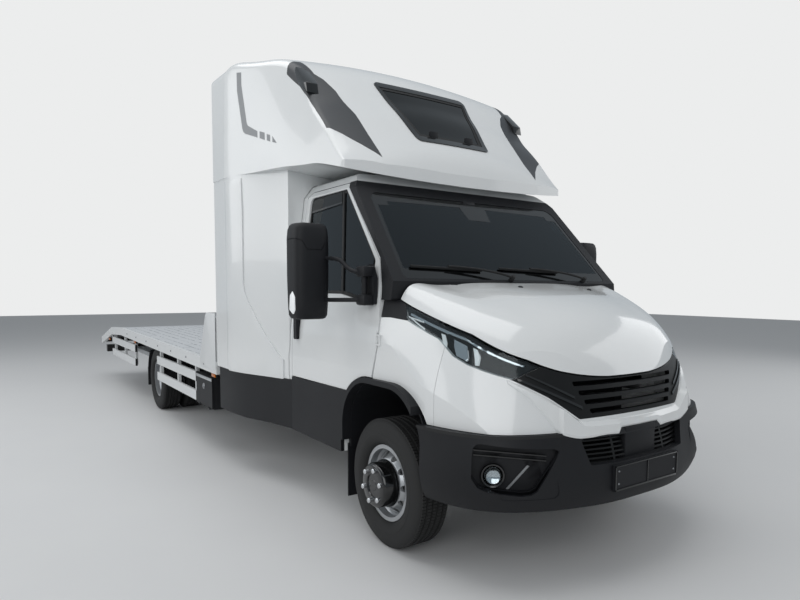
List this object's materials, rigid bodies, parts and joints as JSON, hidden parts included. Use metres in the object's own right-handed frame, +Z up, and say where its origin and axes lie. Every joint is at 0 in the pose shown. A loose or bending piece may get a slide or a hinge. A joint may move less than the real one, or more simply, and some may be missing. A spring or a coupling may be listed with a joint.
{
  "type": "car transporter truck",
  "caption": "Flatbed car transporter truck with a hinged-door cab, a moulded sleeper pod over and behind it, and an aluminium deck with a sloping tail",
  "frame": {"origin": "on the ground, at the middle of the overall box", "axes": "+X forward, +Y to the truck's left, +Z up"},
  "size_m": [9.598, 2.5968, 3.2527],
  "materials": {
    "white_paint": "gloss",
    "white_grp": "gloss moulded",
    "black_plastic": "grained",
    "black_steel": "satin",
    "cast_iron": "as cast",
    "silver_steel": "satin silver",
    "tyre": "moulded rubber",
    "clear_glass": "clear",
    "tinted_glass": "dark tint",
    "lamp_lens": "clear lens",
    "aluminium": "embossed",
    "stainless": "brushed",
    "seat_fabric": "woven"
  },
  "bodies": {
    "chassis": {"chassis_frame": "black_steel", "front_suspension": "black_steel", "rear_axle": "black_steel", "powertrain": "cast_iron", "tank_and_exhaust": "stainless", "cab_shell": "white_paint", "windscreen": "clear_glass", "cowl_trim": "black_plastic", "front_panels": "white_paint", "headlamps": "lamp_lens", "grille": "black_plastic", "wing_trims": "black_plastic", "front_bumper": "black_plastic", "lower_grille": "black_plastic", "mudguards": "black_plastic", "pod_shell": "white_grp", "roof_window": "tinted_glass", "pod_skirts": "black_plastic", "marker_lamps": "black_plastic", "dashboard": "black_plastic", "seats_and_bunk": "seat_fabric", "wipers": "black_plastic", "deck_floor": "aluminium", "deck_rails": "aluminium", "deck_frame": "black_steel", "side_guards": "aluminium", "toolboxes": "black_plastic", "rear_bar": "black_steel", "loading_ramps": "aluminium"},
    "knuckle_left": {"knuckle_left": "cast_iron"},
    "knuckle_right": {"knuckle_right": "cast_iron"},
    "wheel_front_left": {"tyre_front_left": "tyre", "rim_front_left": "silver_steel"},
    "wheel_front_right": {"tyre_front_right": "tyre", "rim_front_right": "silver_steel"},
    "wheels_rear_left": {"tyres_rear_left": "tyre", "rims_rear_left": "silver_steel"},
    "wheels_rear_right": {"tyres_rear_right": "tyre", "rims_rear_right": "silver_steel"},
    "door_left": {"door_left_shell": "white_paint", "door_left_glass": "clear_glass", "door_left_trim": "black_plastic"},
    "door_right": {"door_right_shell": "white_paint", "door_right_glass": "clear_glass", "door_right_trim": "black_plastic"},
    "bonnet": {"bonnet": "white_paint"},
    "toolbox_lid_left": {"toolbox_lid_left": "black_plastic"},
    "toolbox_lid_right": {"toolbox_lid_right": "black_plastic"},
    "track_rod": {"track_rod": "black_steel"},
    "steering_wheel": {"steering_wheel": "black_plastic"}
  },
  "joints": [
    {"name": "steer_left", "type": "hinge", "parent": "chassis", "child": "knuckle_left", "pos_m": [3.72, 0.77, 0.372], "axis": [0, 0, 1], "range_deg": [-35, 35]},
    {"name": "steer_right", "type": "hinge", "parent": "chassis", "child": "knuckle_right", "pos_m": [3.72, -0.77, 0.372], "axis": [0, 0, 1], "range_deg": [-35, 35]},
    {"name": "spin_front_left", "type": "hinge", "parent": "knuckle_left", "child": "wheel_front_left", "pos_m": [3.72, 0.862, 0.372], "axis": [0, 1, 0], "continuous": true},
    {"name": "spin_front_right", "type": "hinge", "parent": "knuckle_right", "child": "wheel_front_right", "pos_m": [3.72, -0.862, 0.372], "axis": [0, 1, 0], "continuous": true},
    {"name": "spin_rear_left", "type": "hinge", "parent": "chassis", "child": "wheels_rear_left", "pos_m": [-1.38, 0.854, 0.372], "axis": [0, 1, 0], "continuous": true},
    {"name": "spin_rear_right", "type": "hinge", "parent": "chassis", "child": "wheels_rear_right", "pos_m": [-1.38, -0.854, 0.372], "axis": [0, 1, 0], "continuous": true},
    {"name": "door_left_hinge", "type": "hinge", "parent": "chassis", "child": "door_left", "pos_m": [3.695, 0.996, 1], "axis": [0, 0, -1], "range_deg": [0, 70]},
    {"name": "door_right_hinge", "type": "hinge", "parent": "chassis", "child": "door_right", "pos_m": [3.695, -0.996, 1], "axis": [0, 0, 1], "range_deg": [0, 70]},
    {"name": "bonnet_hinge", "type": "hinge", "parent": "chassis", "child": "bonnet", "pos_m": [3.826, 0, 1.516], "axis": [0, -1, 0], "range_deg": [0, 55]},
    {"name": "toolbox_lid_left_hinge", "type": "hinge", "parent": "chassis", "child": "toolbox_lid_left", "pos_m": [0.89, 1.168, 0.404], "axis": [-1, 0, 0], "range_deg": [0, 90]},
    {"name": "toolbox_lid_right_hinge", "type": "hinge", "parent": "chassis", "child": "toolbox_lid_right", "pos_m": [0.89, -1.168, 0.404], "axis": [1, 0, 0], "range_deg": [0, 90]},
    {"name": "track_rod_slide", "type": "slide", "parent": "chassis", "child": "track_rod", "axis": [0, 1, 0], "range_m": [-0.095, 0.095]},
    {"name": "steering_wheel_turn", "type": "hinge", "parent": "chassis", "child": "steering_wheel", "pos_m": [3.16, 0.42, 1.33], "axis": [-0.8211, 0, 0.5708], "range_deg": [-500, 500]}
  ],
  "couplings": [
    {"joint": "steer_right", "follows": "steer_left", "ratio": 1},
    {"joint": "track_rod_slide", "follows": "steer_left", "m_per_rad": -0.15},
    {"joint": "steering_wheel_turn", "follows": "steer_left", "ratio": 14}
  ]
}
